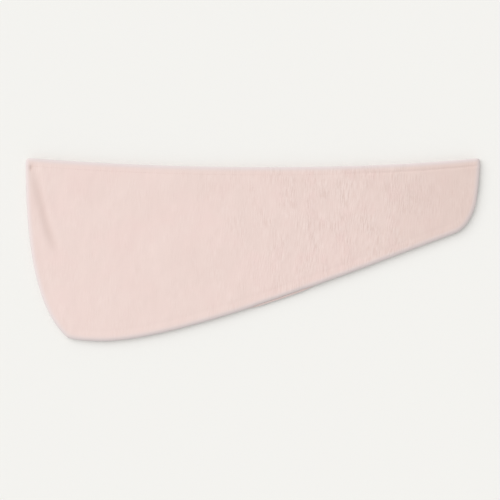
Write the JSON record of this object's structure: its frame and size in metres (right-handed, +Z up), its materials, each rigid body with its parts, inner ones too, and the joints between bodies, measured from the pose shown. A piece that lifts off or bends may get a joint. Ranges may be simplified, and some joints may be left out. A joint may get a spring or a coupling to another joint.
{
  "type": "hair turban",
  "caption": "Plush hair turban lying flat, open along its straight edge, with a tail that folds and twists and a button and loop underneath.",
  "frame": {"origin": "middle of the footprint, on the surface that the turban lies on", "axes": "+Z up, +X along the opening edge towards the tail, +Y from the curved seam towards the opening edge"},
  "size_m": [0.65, 0.262, 0.0106],
  "materials": {
    "fleece": "plush coral fleece, short nap",
    "thread": "polyester sewing thread",
    "label": "blank satin ribbon",
    "button": "satin moulded resin",
    "elastic": "braided round elastic"
  },
  "bodies": {
    "pocket": {"back_panel_pocket": "fleece", "front_panel_pocket": "fleece", "back_hem_thread_pocket": "thread", "front_hem_thread_pocket": "thread", "front_hem_thread_nape": "thread", "seam_thread_pocket": "thread", "overlock_edging_pocket": "thread", "care_label": "label"},
    "lip": {"front_panel_lip": "fleece", "front_hem_thread_lip": "thread"},
    "tail": {"back_panel_tail": "fleece", "front_panel_tail": "fleece", "back_hem_thread_tail": "thread", "front_hem_thread_tail": "thread", "seam_thread_tail": "thread", "overlock_edging_tail": "thread"},
    "tip": {"back_panel_tip": "fleece", "front_panel_tip": "fleece", "back_hem_thread_tip": "thread", "front_hem_thread_tip": "thread", "seam_thread_tip": "thread", "overlock_edging_tip": "thread", "loop_bar_tack": "thread"},
    "loop": {"elastic_loop": "elastic"},
    "button": {"button": "button", "button_stitches": "thread", "button_shank": "thread"}
  },
  "joints": [
    {"name": "mouth_lift", "type": "hinge", "parent": "pocket", "child": "lip", "pos_m": [-0.195, 0.01044, 0.0106], "axis": [1, 0, 0], "range_deg": [0, 30]},
    {"name": "tail_fold", "type": "hinge", "parent": "pocket", "child": "tail", "pos_m": [0, 0.018, 0.0121], "axis": [0, -1, 0], "range_deg": [0, 150]},
    {"name": "tail_twist", "type": "hinge", "parent": "tail", "child": "tip", "pos_m": [0.125, 0.04038, 0.0053], "axis": [0.978, 0.2088, 0], "range_deg": [0, 180]},
    {"name": "loop_swing", "type": "hinge", "parent": "tip", "child": "loop", "pos_m": [0.316, 0.09294, 0.00175], "axis": [0, -1, 0], "range_deg": [0, 180]},
    {"name": "button_tilt", "type": "hinge", "parent": "pocket", "child": "button", "pos_m": [-0.294, 0.08944, 0.0046], "axis": [0, 1, 0], "range_deg": [-6, 6]}
  ]
}
